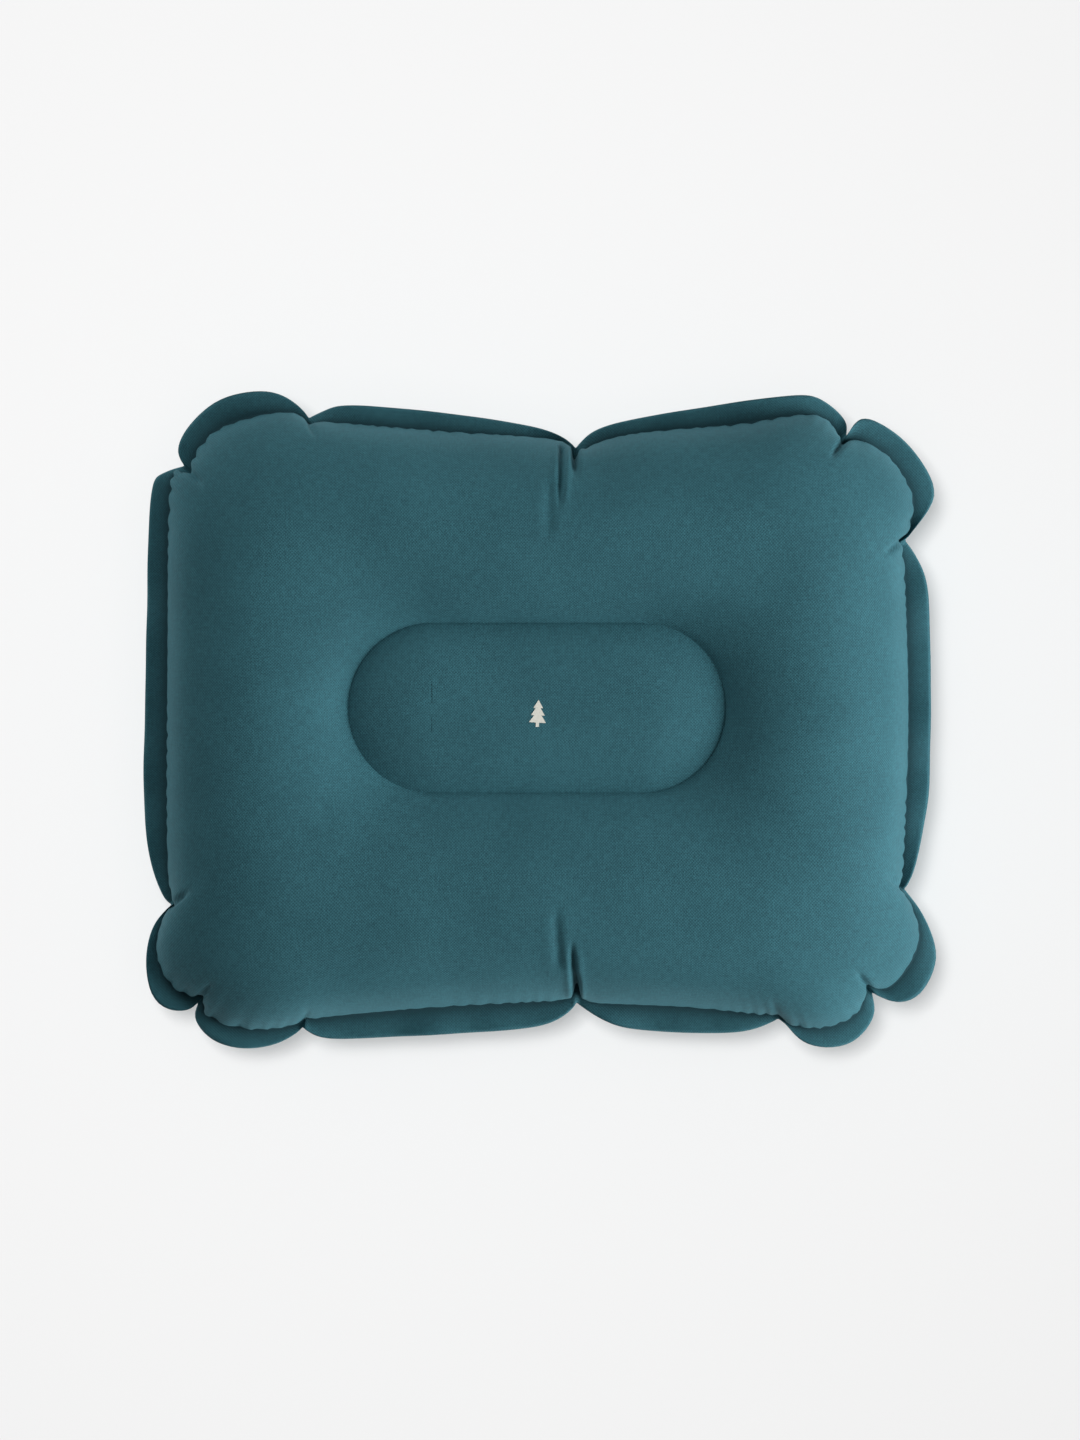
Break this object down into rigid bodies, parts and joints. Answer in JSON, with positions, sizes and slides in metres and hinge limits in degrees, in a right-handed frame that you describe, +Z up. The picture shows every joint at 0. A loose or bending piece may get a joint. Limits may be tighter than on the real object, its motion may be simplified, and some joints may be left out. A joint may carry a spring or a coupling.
{
  "type": "inflatable camp pillow",
  "caption": "Inflatable camp pillow: two teal fabric skins welded round a scalloped flange, tied by a capsule-shaped inner web, with a push-in air valve under one end.",
  "frame": {"origin": "on the surface the pillow lies on, below the middle of its outline", "axes": "+X along the long side towards the valve end, +Y along the short side, +Z up out of the printed face"},
  "size_m": [0.4, 0.3314, 0.104],
  "materials": {
    "skin": "matte woven polyester, film-backed",
    "web_film": "translucent matte TPU film",
    "print": "matte transfer print",
    "valve": "satin moulded TPU",
    "silicone": "smooth translucent silicone"
  },
  "bodies": {
    "shell": {"top_panel": "skin", "bottom_panel": "skin", "center_baffle": "web_film", "print_mark": "print", "valve_patch": "skin", "valve_base": "valve", "tether_collar": "valve"},
    "plug": {"deflate_plug": "valve"},
    "flap": {"check_flap": "silicone"},
    "cap": {"inflate_cap": "valve"}
  },
  "joints": [
    {"name": "plug_hinge", "type": "hinge", "parent": "shell", "child": "plug", "pos_m": [0.18318, 0.017, 0.02295], "axis": [0.4828, 0, 0.8757], "range_deg": [0, 110]},
    {"name": "cap_hinge", "type": "hinge", "parent": "plug", "child": "cap", "pos_m": [0.19153, 0, 0.03136], "axis": [0, -1, 0], "range_deg": [0, 110]},
    {"name": "flap_lift", "type": "slide", "parent": "plug", "child": "flap", "axis": [-0.8757, 0, 0.4828], "range_m": [0, 0.0012], "stiffness_N_per_m": 5}
  ]
}
